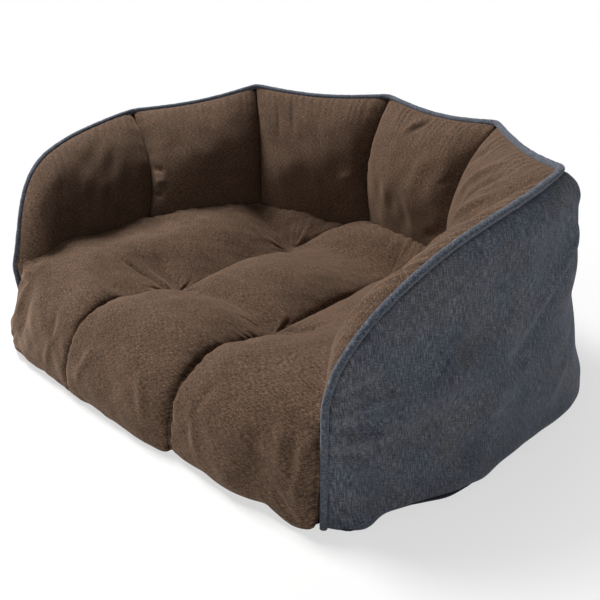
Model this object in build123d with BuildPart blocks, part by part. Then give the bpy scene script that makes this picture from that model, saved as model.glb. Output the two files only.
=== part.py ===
from build123d import *
import os
from math import asin, cos, hypot, pi, sin, sqrt, tan

os.makedirs("parts", exist_ok=True)

# A pet sofa: a tufted seat inside a horseshoe wall of six padded channels.
# The origin is on the floor under the middle of the whole sofa, +Z is up and the open front faces -Y.
# The right half (X above zero) is drawn, and the left half is its mirror image.

# Outline of the base seen from above: a long side arc, a rear corner arc and a back arc on each side
front_half_width = 283.0
widest_half_width = 380.0
front_line = -244.2
widest_line = 71.8
back_line = 281.8
corner_radius = 152.0

# Cloth, gaps and seams
cover_thickness = 1.6
base_thickness = 2.0
soft_gap = 0.3
seam_edge = 1.0

# Piping round the rim: a cloth tube over a cord
piping_radius = 3.5
piping_cord_radius = 2.2
piping_peak_radius = 14.0
piping_bend_share = 0.45
piping_gap = 1.7
piping_wing_shares = (0.03, 0.07, 0.13, 0.21, 0.31, 0.43, 0.57, 0.72, 0.86, 1.0)
piping_pad_shares = (0.25, 0.5, 0.75, 1.0)

# The wall's seams: distance along the base outline, inward lean of the rim and height of the rim
wing_run = 292.0
corner_run_from_back = 240.0
wing_lean = 31.0
corner_lean = 66.0
back_lean = 38.0
front_rim_height = 131.0
wing_rim_height = 293.0
back_rim_height = 315.0
rim_dip = 7.0
wing_rise_power = 0.6

# Depth of the wall at its seams: how far in the pads meet the seat, across the sofa and along it
front_wall = (6.0, 0.0)
wing_wall = (111.6, 73.3)
corner_wall = (46.2, 90.8)
back_wall = (0.0, 75.0)
front_junction_height = 124.0
junction_height = 139.5

# Roundness of the wall's outside and of the pads
outer_bulge = 3.0
outer_bulge_share = 0.38
pad_crown = 33.0
pad_seam_crown = 8.0
pad_shoulder_share = 0.72
pad_end_share = 0.1
pad_fill_trim_share = 0.04
piping_setback = piping_radius + piping_gap

# Where each panel is cut across, as shares of its length
wing_front_shares = (0.036, 0.07)
wing_station_shares = (0.07, 0.2, 0.45, 0.72, 0.88, 1.0)
pad_station_shares = (0.0, 0.13, 0.5, 0.87, 1.0)

# The seat: three columns of three lobes, drawn down at four tufts
column_seam_x = 95.0
front_tuft_setback = 129.0
rear_tuft_gap = 82.0
tuft_tie_radius = 0.8
tuft_tie_sink = 1.0
base_overhang = 19.0
front_overrun = 60.0

# The seat at a column's seam: heights, and overhang and height of three points of its front
seam_tuft = 79.0
seam_tops = (99.0, 96.0, 104.0)
seam_back = 133.0
seam_shoulder = (17.0, 74.0)
seam_belly = (27.0, 38.0)
seam_foot = 20.0

# The seat at a column's crown
crown_tuft = 110.0
crown_tops = (126.0, 128.0, 133.0)
crown_back = 136.0
crown_shoulder = (15.0, 97.0)
crown_belly = (41.0, 44.0)
crown_foot = 21.0

# The seat along the wings
edge_tuft = 122.0
edge_tops = (127.0, 130.0, 134.5)
edge_back = 137.0
edge_shoulder = (5.0, 112.0)
edge_belly = (19.0, 62.0)
edge_foot = 7.0

# Arcs for the outline of the base
side_drop = widest_half_width - front_half_width
side_reach = widest_line - front_line
side_radius = (side_reach**2 + side_drop**2) / (2 * side_drop)
corner_centre_x = widest_half_width - corner_radius
back_reach = back_line - widest_line
back_radius = (corner_centre_x**2 + back_reach**2 - corner_radius**2) / (2 * (back_reach - corner_radius))
side_turn = asin(side_reach / side_radius)
back_turn = asin(corner_centre_x / (back_radius - corner_radius))
side_length = side_radius * side_turn
corner_length = corner_radius * (pi / 2 - back_turn)
half_length = side_length + corner_length + back_radius * back_turn


def base_point(run):
    """Point of the base outline, at a distance along it from the right front corner."""
    if run < side_length:
        turn = side_turn - run / side_radius
        centre_x = widest_half_width - side_radius
        return Vector(centre_x + side_radius * cos(turn), widest_line - side_radius * sin(turn))
    if run < side_length + corner_length:
        turn = (run - side_length) / corner_radius
        return Vector(corner_centre_x + corner_radius * cos(turn), widest_line + corner_radius * sin(turn))
    turn = back_turn - (run - side_length - corner_length) / back_radius
    return Vector(back_radius * sin(turn), back_line - back_radius + back_radius * cos(turn))


def blend(start, end, share):
    """Value at a share of the way from one to the other."""
    return start + (end - start) * share


class Seam:
    """A seam of the wall: where it stands, how far its rim leans in, and where its pad meets the seat."""

    def __init__(self, run, lean, rim, wall, junction):
        self.run = run
        self.lean = lean
        self.rim = rim
        self.junction = junction
        self.base = base_point(run)
        self.nest = self.base - Vector(*wall)
        self.rim_point = self.base + (self.nest - self.base).normalized() * lean


corner_run = half_length - corner_run_from_back
front_seam = Seam(0.0, 0.0, front_rim_height, front_wall, front_junction_height)
wing_seam = Seam(wing_run, wing_lean, wing_rim_height, wing_wall, junction_height)
corner_seam = Seam(corner_run, corner_lean, back_rim_height, corner_wall, junction_height)
back_seam = Seam(half_length, back_lean, back_rim_height, back_wall, junction_height)


class Station:
    """An upright cut across the wall: its plane runs from the base outline towards the nest."""

    def __init__(self, start, end, share):
        self.base = base_point(blend(start.run, end.run, share))
        nest = blend(start.nest, end.nest, share)
        self.inward = (nest - self.base).normalized()
        self.thickness = (nest - self.base).length
        self.junction = blend(start.junction, end.junction, share)
        if start is front_seam:
            curve = 2 * share - share**2
            rise = wing_rim_height - front_rim_height
            self.lean = blend(start.lean, end.lean, share)
            self.rim = front_rim_height + rise * curve**wing_rise_power
            slope = wing_rise_power * curve ** (wing_rise_power - 1) * (2 - 2 * share) * rise / wing_run
        else:
            chord = end.rim_point - start.rim_point
            gap = start.rim_point - self.base
            spread = chord.X * self.inward.Y - chord.Y * self.inward.X
            self.lean = (chord.X * gap.Y - chord.Y * gap.X) / spread
            self.rim = blend(start.rim, end.rim, share) - rim_dip * sin(pi * share)
            slope = 0.0
        self.top = self.rim - piping_setback * sqrt(1 + slope**2)
        self.plane = Plane(origin=self.base, x_dir=self.inward, z_dir=self.inward.cross(Vector(0, 0, 1)))

    def outer_arc(self, inset):
        """Three points of the wall's outside, moved inwards by an inset."""
        width = self.lean
        height = self.top - base_thickness
        length = hypot(width, height)
        bulge = outer_bulge + outer_bulge_share * self.lean
        middle_x = width / 2 - bulge * height / length
        middle_z = base_thickness + height / 2 + bulge * width / length
        return (inset, base_thickness), (inset + middle_x, middle_z), (inset + width, self.top)

    def pad_arc(self, crown, inset, end_share):
        """Three points of a pad's inner face, and the two ends of its back, drawn in by an inset."""
        foot_x = self.thickness
        head_x = self.lean + cover_thickness + 2 * soft_gap + seam_edge
        width = head_x - foot_x
        height = self.top - self.junction
        length = hypot(width, height)
        across_x = height / length
        across_z = -width / length
        foot = (foot_x + width * end_share + across_x * inset, self.junction + height * end_share + across_z * inset)
        head = (head_x - width * end_share + across_x * inset, self.top - height * end_share + across_z * inset)
        sag = crown - inset
        middle = (foot_x + width / 2 + across_x * sag, self.junction + height / 2 + across_z * sag)
        return foot, middle, head

    def rim_centre(self):
        """Centre of the piping over this cut."""
        at = self.base + self.inward * (self.lean + cover_thickness + soft_gap)
        return Vector(at.X, at.Y, self.rim)


# Each panel of the right half: its two seams and the cuts across its pad
panels = {
    "wing": (front_seam, wing_seam, wing_station_shares),
    "side": (wing_seam, corner_seam, pad_station_shares),
    "back": (corner_seam, back_seam, pad_station_shares),
}
wall_spans = [(front_seam, wing_seam, wing_front_shares), *panels.values()]


def pad_crowns(count):
    """Crown at each cut of a pad: low at the two seams, full in the middle."""
    shoulder = pad_crown * pad_shoulder_share
    return [pad_seam_crown, shoulder] + [pad_crown] * (count - 4) + [shoulder, pad_seam_crown]


def wall_skin(start, end, shares):
    """One panel of the outer cover."""
    with BuildPart() as skin:
        for share in shares:
            station = Station(start, end, share)
            outside = station.outer_arc(0.0)
            inside = station.outer_arc(cover_thickness)
            with BuildSketch(station.plane):
                with BuildLine():
                    ThreePointArc(*outside)
                    Line(outside[2], inside[2])
                    ThreePointArc(*reversed(inside))
                    Line(inside[0], outside[0])
                make_face()
        loft()
    return skin.part


def wadding_block(start, end, shares):
    """Wadding between the outer cover and one pad."""
    with BuildPart() as block:
        for share in shares:
            station = Station(start, end, share)
            outside = station.outer_arc(cover_thickness + soft_gap)
            head = (outside[2][0] + seam_edge, station.top)
            knee = (station.thickness - soft_gap, station.junction)
            foot = (station.thickness - soft_gap, base_thickness)
            with BuildSketch(station.plane):
                with BuildLine():
                    ThreePointArc(*outside)
                    Polyline(outside[2], head, knee, foot, outside[0])
                make_face()
        loft()
    return block.part


def pad_form(start, end, shares, inset, end_share):
    """A pad's closed form: flat at the back and crowned towards the nest, drawn in by an inset."""
    with BuildPart() as form:
        for share, crown in zip(shares, pad_crowns(len(shares))):
            station = Station(start, end, share)
            foot, middle, head = station.pad_arc(crown, inset, end_share)
            with BuildSketch(station.plane):
                with BuildLine():
                    ThreePointArc(foot, middle, head)
                    Line(head, foot)
                make_face()
        loft()
    return form.part


def hand_in(shape, name):
    """Write one sub-part under its name."""
    shape.label = name
    export_step(shape, f"parts/{name}.step")


def hand_in_pair(shape, name):
    """Write a sub-part of the right half and its mirror image of the left half."""
    hand_in(shape, f"right_{name}")
    with BuildPart() as reflected:
        mirror(shape, about=Plane.YZ)
    hand_in(reflected.part, f"left_{name}")


# Base panel: non-slip cloth under the whole sofa
right_front = base_point(0.0)
widest = base_point(side_length)
corner_end = base_point(side_length + corner_length)
back_middle = base_point(half_length)
nest_back_line = back_seam.nest.Y
seat_half_width = max(front_seam.nest.X, wing_seam.nest.X)
outer_crown_x = (column_seam_x + seat_half_width) / 2
seat_front_line = front_line - base_overhang
with BuildPart() as base_panel:
    with BuildSketch():
        with BuildLine():
            ThreePointArc(right_front, base_point(side_length / 2), widest)
            ThreePointArc(widest, base_point(side_length + corner_length / 2), corner_end)
            ThreePointArc(corner_end, base_point((side_length + corner_length + half_length) / 2), back_middle)
            Line(back_middle, (0.0, seat_front_line))
            Line((0.0, seat_front_line), (outer_crown_x, seat_front_line))
            Line((outer_crown_x, seat_front_line), right_front)
        make_face()
        mirror(about=Plane.YZ)
    extrude(amount=base_thickness)
hand_in(base_panel.part, "base_panel")


# Outer cover: one cloth skin from the left front corner, round the back, to the right front corner
skins = [wall_skin(*span) for span in wall_spans]
with BuildPart() as outer_cover:
    add(skins)
    mirror(about=Plane.YZ)
hand_in(outer_cover.part, "outer_cover")


# Wall: behind each channel a block of wadding, in front of it a pad, which is a sewn bag round its filling
for name, (start, end, shares) in panels.items():
    blocks = [wadding_block(*span) for span in wall_spans if span[1] is end]
    with BuildPart() as wadding:
        add(blocks)
    hand_in_pair(wadding.part, f"{name}_wadding")

    bag = pad_form(start, end, shares, 0.0, 0.0)
    fill_shares = (shares[0] + pad_fill_trim_share, *shares[1:-1], shares[-1] - pad_fill_trim_share)
    pad_fill = pad_form(start, end, fill_shares, cover_thickness, pad_end_share)
    with BuildPart() as pad_cover:
        add(bag)
        add(pad_fill, mode=Mode.SUBTRACT)
    hand_in_pair(pad_cover.part, f"{name}_pad_cover")
    hand_in_pair(pad_fill, f"{name}_pad_fill")


# Piping: up the right front corner, round the rim and down the left front corner
front_x = front_half_width - cover_thickness - soft_gap
piping_bottom = base_thickness + soft_gap
right_route = [Vector(front_x, front_line, piping_bottom), Vector(front_x, front_line, front_rim_height)]
peaks = []
for start, end, shares in (
    (front_seam, wing_seam, piping_wing_shares),
    (wing_seam, corner_seam, piping_pad_shares),
    (corner_seam, back_seam, piping_pad_shares),
):
    right_route += [Station(start, end, share).rim_centre() for share in shares]
    peaks.append(len(right_route) - 1)
left_route = [Vector(-point.X, point.Y, point.Z) for point in reversed(right_route[:-1])]
route = right_route + left_route
peaks += [len(route) - 1 - peak for peak in peaks]

piping_radii = []
for corner in range(1, len(route) - 1):
    before = route[corner] - route[corner - 1]
    after = route[corner + 1] - route[corner]
    half_turn = before.get_angle(after) / 2 * pi / 180
    largest = piping_bend_share * min(before.length, after.length) / tan(half_turn)
    piping_radii.append(min(largest, piping_peak_radius) if corner in peaks else largest)
print("piping radii", [round(radius) for radius in piping_radii])

with BuildLine() as piping_path:
    FilletPolyline(*route, radius=piping_radii)
piping_start = Plane(origin=piping_path.line @ 0, z_dir=piping_path.line % 0)
piping_length = sum(edge.length for edge in piping_path.edges())

with BuildPart() as piping_cover:
    with BuildSketch(piping_start):
        Circle(piping_radius)
        Circle(piping_cord_radius, mode=Mode.SUBTRACT)
    sweep(path=piping_path.line)
section_area = pi * (piping_radius**2 - piping_cord_radius**2)
print("piping length", round(piping_length), "volume over section times length",
      round(piping_cover.part.volume / (section_area * piping_length), 3))
hand_in(piping_cover.part, "piping_cover")

with BuildPart() as piping_cord:
    with BuildSketch(piping_start):
        Circle(piping_cord_radius)
    sweep(path=piping_path.line)
hand_in(piping_cord.part, "piping_cord")


front_tuft_line = front_line + front_tuft_setback
rear_tuft_line = nest_back_line - rear_tuft_gap


class SeatProfile:
    """The seat cut from front to back: the tops of its three lobes, its two rows of tufts and its front."""

    def __init__(self, tuft, tops, back, shoulder, belly, foot):
        self.tuft = tuft
        self.tops = tops
        self.back = back
        self.shoulder = shoulder
        self.belly = belly
        self.foot = foot

    def section(self, place, inset):
        """The profile as a closed sketch across X at a place, drawn in by an inset."""
        front, middle, rear = (top - inset for top in self.tops)
        foot = (front_line - self.foot + inset, base_thickness + inset)
        belly = (front_line - self.belly[0] + inset, self.belly[1])
        shoulder = (front_line - self.shoulder[0] + inset, self.shoulder[1] - inset)
        front_tuft = (front_tuft_line, self.tuft - inset)
        rear_tuft = (rear_tuft_line, self.tuft - inset)
        back_head = (nest_back_line + soft_gap, self.back - inset)
        back_foot = (nest_back_line + soft_gap, base_thickness + inset)
        with BuildSketch(Plane.YZ.offset(place)) as profile:
            with BuildLine():
                ThreePointArc(foot, belly, shoulder)
                ThreePointArc(shoulder, ((shoulder[0] + front_tuft_line) / 2, front), front_tuft)
                ThreePointArc(front_tuft, ((front_tuft_line + rear_tuft_line) / 2, middle), rear_tuft)
                ThreePointArc(rear_tuft, ((rear_tuft_line + nest_back_line) / 2, rear), back_head)
                Polyline(back_head, back_foot, foot)
            make_face()
        return profile.sketch


seam_profile = SeatProfile(seam_tuft, seam_tops, seam_back, seam_shoulder, seam_belly, seam_foot)
crown_profile = SeatProfile(crown_tuft, crown_tops, crown_back, crown_shoulder, crown_belly, crown_foot)
edge_profile = SeatProfile(edge_tuft, edge_tops, edge_back, edge_shoulder, edge_belly, edge_foot)

# Each column of the seat: the places of its cuts, and the profile at each
seat_cuts = {
    "left": ((-seat_half_width, edge_profile), (-outer_crown_x, crown_profile), (-column_seam_x, seam_profile)),
    "centre": ((-column_seam_x, seam_profile), (0.0, crown_profile), (column_seam_x, seam_profile)),
    "right": ((column_seam_x, seam_profile), (outer_crown_x, crown_profile), (seat_half_width, edge_profile)),
}


def seat_column(cuts, inset):
    """One column of the seat, drawn in by an inset and cut to the floor of the nest."""
    places = (cuts[0][0] + inset, cuts[1][0], cuts[2][0] - inset)
    sections = [profile.section(place, inset) for place, (_, profile) in zip(places, cuts)]
    with BuildPart() as column:
        loft(sections)
        with BuildSketch():
            with BuildLine():
                Polyline(
                    (0.0, front_line - front_overrun),
                    (front_seam.nest.X, front_line - front_overrun),
                    front_seam.nest,
                    wing_seam.nest,
                    corner_seam.nest,
                    back_seam.nest,
                    close=True,
                )
            make_face()
            mirror(about=Plane.YZ)
            offset(amount=-soft_gap - inset, kind=Kind.INTERSECTION)
        extrude(amount=junction_height, mode=Mode.INTERSECT)
    return column.part


# Seat: one sewn bag of three columns round three fillings, with a hole for each tuft tie
seat_columns = {name: seat_column(cuts, 0.0) for name, cuts in seat_cuts.items()}
seat_fills = {name: seat_column(cuts, cover_thickness) for name, cuts in seat_cuts.items()}
for name, fill in seat_fills.items():
    hand_in(fill, f"seat_fill_{name}")

tuft_places = [(x, y) for x in (-column_seam_x, column_seam_x) for y in (front_tuft_line, rear_tuft_line)]
with BuildPart() as seat_cover:
    add(list(seat_columns.values()))
    add(list(seat_fills.values()), mode=Mode.SUBTRACT)
    with BuildSketch(Plane.XY.offset(base_thickness)):
        with Locations(*tuft_places):
            Circle(tuft_tie_radius + soft_gap)
    extrude(amount=seam_tuft, mode=Mode.SUBTRACT)
hand_in(seat_cover.part, "seat_cover")

# Tuft ties: four threads that hold the tufts down to the base
with BuildPart() as tuft_ties:
    with BuildSketch(Plane.XY.offset(base_thickness)):
        with Locations(*tuft_places):
            Circle(tuft_tie_radius)
    extrude(amount=seam_tuft - base_thickness - tuft_tie_sink)
hand_in(tuft_ties.part, "tuft_ties")
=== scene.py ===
import math

import bpy
import numpy as np
from mathutils import Matrix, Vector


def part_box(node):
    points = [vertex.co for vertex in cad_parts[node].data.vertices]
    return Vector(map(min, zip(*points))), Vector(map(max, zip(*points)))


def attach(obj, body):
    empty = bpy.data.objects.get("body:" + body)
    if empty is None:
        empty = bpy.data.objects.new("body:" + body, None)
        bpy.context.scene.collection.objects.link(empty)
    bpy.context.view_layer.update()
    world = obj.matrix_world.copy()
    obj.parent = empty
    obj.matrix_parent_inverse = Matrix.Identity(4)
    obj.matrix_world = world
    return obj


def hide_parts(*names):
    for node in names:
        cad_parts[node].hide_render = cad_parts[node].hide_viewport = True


# A pet sofa: a tufted chenille seat inside a horseshoe wall of six padded channels, piped round its rim.
# Lengths are in millimetres in the row frame, and a mesh is turned to metres when it is made.
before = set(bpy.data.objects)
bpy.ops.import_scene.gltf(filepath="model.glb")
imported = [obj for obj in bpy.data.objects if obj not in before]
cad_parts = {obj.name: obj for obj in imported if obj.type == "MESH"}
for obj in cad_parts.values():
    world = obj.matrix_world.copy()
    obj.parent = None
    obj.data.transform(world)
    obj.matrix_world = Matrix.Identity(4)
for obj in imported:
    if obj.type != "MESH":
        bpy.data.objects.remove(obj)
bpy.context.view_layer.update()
MM = 0.001

# Sizes read from the frame, and how deep the sofa is from its front line to its back
wall_depth = 526.0
base_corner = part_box("base_panel")[1]
widest_half_width = base_corner.x / MM
back_line = base_corner.y / MM
front_line = back_line - wall_depth
junction_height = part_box("right_side_pad_cover")[0].z / MM

# Outline of the base: side arc, rear corner arc, back arc
front_half_width = 283.0
widest_line = back_line - 210.0
corner_radius = 152.0
side_drop = widest_half_width - front_half_width
side_reach = widest_line - front_line
side_radius = (side_reach**2 + side_drop**2) / (2 * side_drop)
corner_centre_x = widest_half_width - corner_radius
back_reach = back_line - widest_line
back_radius = (corner_centre_x**2 + back_reach**2 - corner_radius**2) / (2 * (back_reach - corner_radius))
side_turn = math.asin(side_reach / side_radius)
back_turn = math.asin(corner_centre_x / (back_radius - corner_radius))
side_length = side_radius * side_turn
corner_length = corner_radius * (math.pi / 2 - back_turn)
half_length = side_length + corner_length + back_radius * back_turn

# Cloth and piping. How far the pads stand out: at most, and beside the seams of the wings and of the others
cloth_thickness = 1.6
piping_radius = 3.6
piping_sides = 20
piping_foot = 2.5
piping_inset = 1.9
pad_crown = 37.0
wing_seam_crown = 7.0
back_seam_crown = 4.0
# The piping's line: the spread of its smoothing in points, and their step. The columns round a wing crowd
# towards its front by a power
rim_smoothing = 4.0
rim_step = 1.8
wing_crowding = 1.35
# The front corners spread out at their foot: how far, up to what height, and how much further to the front
flare_reach = 4.0
flare_height = 60.0
forward_flare = 1.2


def ease(t):
    """Smooth step: three t squared less two t cubed, held at 0 and 1."""
    t = np.clip(t, 0.0, 1.0)
    return t * t * (3 - 2 * t)


def rounded(t, square=2.0, power=0.5):
    """A rounded rise from 0 to 1, a quarter round by default: one less a power of one less t, to a power."""
    return np.clip(1 - (1 - np.clip(t, 0, 1)) ** square, 0, 1) ** power


def bell(distance, width):
    """A bell of a distance: e to the power of less the square of the distance over the width."""
    return np.exp(-((distance / width) ** 2))


def crowded(count, amount):
    """Shares from 0 to 1, closer together at both ends: an even share less a part of its own sine."""
    t = np.linspace(0, 1, count)
    return t - amount * np.sin(2 * math.pi * t) / (2 * math.pi)


def unit(vectors):
    """Vectors of length one: each is divided by its own length."""
    return vectors / np.maximum(np.linalg.norm(vectors, axis=-1, keepdims=True), 1e-9)


def curve(places, values, at):
    """Smooth value at a place: cubic pieces through listed values, sloped as their neighbours' chords."""
    places = np.asarray(places, float)
    values = np.asarray(values, float)
    slopes = np.gradient(values, places)
    k = np.clip(np.searchsorted(places, at) - 1, 0, len(places) - 2)
    gap = places[k + 1] - places[k]
    t = np.clip((at - places[k]) / gap, 0, 1)
    start = (2 * t**3 - 3 * t**2 + 1) * values[k] + (t**3 - 2 * t**2 + t) * gap * slopes[k]
    return start + (3 * t**2 - 2 * t**3) * values[k + 1] + (t**3 - t**2) * gap * slopes[k + 1]


def spline(points, count):
    """Smooth line through points on the first axis: cubic pieces, each tangent half its neighbours' gap."""
    points = np.asarray(points, float)
    padded = np.concatenate([2 * points[:1] - points[1:2], points, 2 * points[-1:] - points[-2:-1]])
    at = np.linspace(0, len(points) - 1, count)
    k = np.minimum(at.astype(int), len(points) - 2)
    t = (at - k).reshape((-1,) + (1,) * (points.ndim - 1))
    before, start, end, after = padded[k], padded[k + 1], padded[k + 2], padded[k + 3]
    return start + 0.5 * t * (
        end - before
        + t * (2 * before - 5 * start + 4 * end - after + t * (3 * (start - end) + after - before))
    )


def unevenness(seed, longest, *coords):
    """Between about -1 and 1: a sum of nine sine waves in seeded directions, the longest as long as given."""
    rng = np.random.default_rng(seed)
    total = 0.0
    for _ in range(9):
        direction = rng.normal(size=len(coords))
        direction /= np.linalg.norm(direction)
        length = longest * rng.uniform(0.5, 1.0)
        phase = rng.uniform(0, 2 * math.pi)
        travel = sum(d * c for d, c in zip(direction, coords))
        total = total + np.sin(2 * math.pi * travel / length + phase)
    return total / 3.5


def fold(a, b, start, end, width, height):
    """A rounded fold in the cloth: a bell of the distance from the line start to end, faded at both ends."""
    along = np.array(end, float) - np.array(start, float)
    length = np.hypot(*along)
    along /= length
    t = ((a - start[0]) * along[0] + (b - start[1]) * along[1]) / length
    across = (a - start[0]) * along[1] - (b - start[1]) * along[0]
    fade = ease(2.4 * t) * ease(2.4 * (1 - t))
    return height * bell(across, width) * fade


def folds(a, b, listed):
    """The sum of listed folds, each with its start, its end, its width and its height."""
    return sum(fold(a, b, *each) for each in listed)


def gathers(seed, spacing, along, away, reach, height):
    """Small puckers square to a seam: waves of uneven spacing along it that die away from it."""
    drift = unevenness(seed, 5 * spacing, along)
    strength = 0.6 + 0.4 * unevenness(seed + 1, 7 * spacing, along)
    wave = np.sin(2 * math.pi * along / spacing + 1.8 * drift)
    return height * strength * wave * np.exp(-np.abs(away) / reach)


def arc(x, y, radius, turn):
    """Plan points on a circle round x and y, at angles from the direction to the right."""
    return np.concatenate([x + radius * np.cos(turn), y + radius * np.sin(turn)], -1)


def base_outline(run):
    """Plan points of the base outline at distances along it from the front corner: three tangent arcs."""
    run = np.asarray(run)[..., None]
    back_start = side_length + corner_length
    to_back = math.pi / 2 - back_turn
    side = arc(widest_half_width - side_radius, widest_line, side_radius, run / side_radius - side_turn)
    corner = arc(corner_centre_x, widest_line, corner_radius, (run - side_length) / corner_radius)
    back = arc(0.0, back_line - back_radius, back_radius, to_back + (run - back_start) / back_radius)
    return np.where(run < side_length, side, np.where(run < back_start, corner, back))


# Height of the piping along the two wings, at shares of their length
wing_shares = (0.0, 0.01, 0.03, 0.07, 0.13, 0.21, 0.31, 0.43, 0.57, 0.72, 0.86, 1.0)
right_wing_rims = (131.0, 140.0, 157.0, 176.0, 197.0, 217.0, 236.0, 253.0, 266.0, 276.0, 284.5, 293.5)
left_wing_rims = (112.0, 120.0, 136.0, 165.0, 199.0, 227.0, 247.0, 260.0, 271.0, 280.0, 288.0, 295.0)
# How far the left front corner's piping stands out, and the share of the wing over which it comes back in
left_corner_spread = 13.0
left_corner_reach = 0.04


class Seam:
    """A seam of the wall: its place on the outline, its rim's lean and height, and its end at the seat."""

    def __init__(self, run, lean, rim, nest, junction):
        """In plan the rim lies the lean along the straight line from the outline to the seat's edge."""
        self.run = run
        self.lean = lean
        self.rim = rim
        self.junction = junction
        self.base = base_outline(np.array(run))
        self.nest = np.array(nest)
        self.inward = unit(self.nest - self.base)
        self.rim_plan = self.base + self.inward * lean


class Panel:
    """One padded channel of the wall, from its front seam to its rear one, on side 1 right or -1 left."""

    def __init__(self, name, side, start, end, dip, bows):
        """The dip is its rim's. The bows say how far its front and rear seam are pushed along the wall."""
        self.name = name
        self.side = side
        self.start = start
        self.end = end
        self.dip = dip
        self.bows = bows
        self.wing = start.run == 0.0
        self.length = end.run - start.run

    def run(self, share):
        """Distance along the outline from the front corner: even from seam to seam."""
        return self.start.run + self.length * share

    def run_round(self, share):
        """Distance along the whole outline from the right front corner."""
        return self.run(share) if self.side > 0 else 2 * half_length - self.run(share)

    def base(self, share):
        """Plan points of the outline at shares of the panel's run."""
        return base_outline(self.run(share))

    def nest(self, share):
        """Plan points of the seat's edge: the straight line from the front seam's to the rear seam's."""
        share = share[..., None]
        return self.start.nest + (self.end.nest - self.start.nest) * share

    def thickness(self, share):
        """Distance in plan from the outline to the seat's edge."""
        return np.linalg.norm(self.nest(share) - self.base(share), axis=-1)

    def inward(self, share):
        """Unit direction in plan from the outline to the seat's edge."""
        return unit(self.nest(share) - self.base(share))

    def outward(self, share):
        """Level unit vectors in the row frame that point away from the seat."""
        inward = self.inward(share) * (self.side, 1)
        return -np.concatenate([inward, np.zeros((len(share), 1))], -1)

    def lean(self, share):
        """Distance from the outline in to the rim: even along a wing, and to a straight rim on the others."""
        if self.wing:
            even = self.start.lean + (self.end.lean - self.start.lean) * share
            spread = left_corner_spread if self.side < 0 else 0.0
            return even - spread * np.exp(-share / left_corner_reach)
        chord = self.end.rim_plan - self.start.rim_plan
        gap = self.start.rim_plan - self.base(share)
        inward = self.inward(share)
        spread = chord[0] * inward[..., 1] - chord[1] * inward[..., 0]
        return (chord[0] * gap[..., 1] - chord[1] * gap[..., 0]) / spread

    def rim(self, share):
        """Height of the piping: a steep rise that levels out on a wing, and a shallow dip on the others."""
        if self.wing:
            return curve(wing_shares, right_wing_rims if self.side > 0 else left_wing_rims, share)
        return self.start.rim + (self.end.rim - self.start.rim) * share - self.dip * np.sin(math.pi * share)

    def junction(self, share):
        """Height at which the pad meets the seat: even from seam to seam."""
        return self.start.junction + (self.end.junction - self.start.junction) * share

    def place(self, share, inwards, height):
        """Row-frame points at a share of the panel, a distance in from the base outline and a height."""
        plan = self.base(share) + self.inward(share) * inwards[..., None]
        return np.stack([self.side * plan[..., 0], plan[..., 1], height], -1)


# The wall's seams. The left rear one stands highest and the right wing's lowest.
corner_run = half_length - 240.0
front_junction_height = 124.0
nest_front = (277.0, front_line)
nest_wing = (266.7, -44.9)
nest_corner = (188.0, 145.8)
nest_back = (0.0, 206.8)
right_front = Seam(0.0, 0.0, right_wing_rims[0], nest_front, front_junction_height)
right_wing = Seam(298.0, 31.0, 293.5, nest_wing, junction_height)
right_corner = Seam(corner_run - 16, 66.0, 306.0, nest_corner, junction_height)
rear = Seam(half_length, 38.0, 321.0, nest_back, junction_height)
left_corner = Seam(corner_run - 40, 66.0, 330.0, nest_corner, junction_height)
left_wing = Seam(298.0, 31.0, 295.0, (258.5, -39.0), junction_height)
left_front = Seam(0.0, 1.0, left_wing_rims[0], (272.0, front_line), front_junction_height)
panels = [
    Panel("right_wing", 1, right_front, right_wing, 0.0, (0.0, 6.0)),
    Panel("right_side", 1, right_wing, right_corner, 7.5, (6.0, 17.0)),
    Panel("right_back", 1, right_corner, rear, 9.0, (17.0, 12.0)),
    Panel("left_back", -1, left_corner, rear, 8.0, (2.0, -12.0)),
    Panel("left_side", -1, left_wing, left_corner, 6.5, (14.0, 2.0)),
    Panel("left_wing", -1, left_front, left_wing, 0.0, (0.0, 14.0)),
]


def round_the_wall(step):
    """Panel number and share of every column round the wall, from the right front corner to the left one."""
    numbers, shares = [], []
    for number, panel in enumerate(panels):
        count = int(panel.length / step)
        column = ((np.arange(count) + 0.5) / count) ** (wing_crowding if panel.wing else 1.0)
        numbers.append(np.full(count, number))
        shares.append(column if panel.side > 0 else column[::-1])
    return np.concatenate(numbers), np.concatenate(shares)


def by_panel(numbers, shares, values):
    """Values for every column round the wall, worked out by each column's own panel from its share."""
    result = None
    for number, panel in enumerate(panels):
        chosen = numbers == number
        part = values(panel, shares[chosen])
        if result is None:
            result = np.zeros((len(numbers),) + part.shape[1:])
        result[chosen] = part
    return result


def smoothed(line, spread):
    """The line after a bell-shaped running average of its points, with its two ends held."""
    reach = int(3 * spread)
    weights = np.exp(-0.5 * (np.arange(-reach, reach + 1) / spread) ** 2)
    weights /= weights.sum()
    front = 2 * line[:1] - line[reach:0:-1]
    back = 2 * line[-1:] - line[-2:-reach - 2:-1]
    longer = np.concatenate([front, line, back])
    return np.stack([np.convolve(axis, weights, mode="valid") for axis in longer.T], -1)


def resampled(line, step):
    """Points at an even step along a line, with the distance of each from its start."""
    lengths = np.concatenate([[0], np.cumsum(np.linalg.norm(np.diff(line, axis=0), axis=1))])
    at = np.linspace(0, lengths[-1], int(lengths[-1] / step))
    return np.stack([np.interp(at, lengths, axis) for axis in line.T], -1), at


def flare(height):
    """How far the front corners spread out at their foot: a square that dies away over its height."""
    return flare_reach * np.clip(1 - height / flare_height, 0, 1) ** 2


def front_edge(panel, height):
    """Plan place of the piping's upright part, straight but for its top's lean and its foot's flare."""
    lean = panel.lean(np.array(0.0)) * ease(height / panel.start.rim)
    x = front_half_width - piping_inset - lean + flare(height)
    return np.stack([panel.side * x, front_line - forward_flare * flare(height)], -1)


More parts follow.
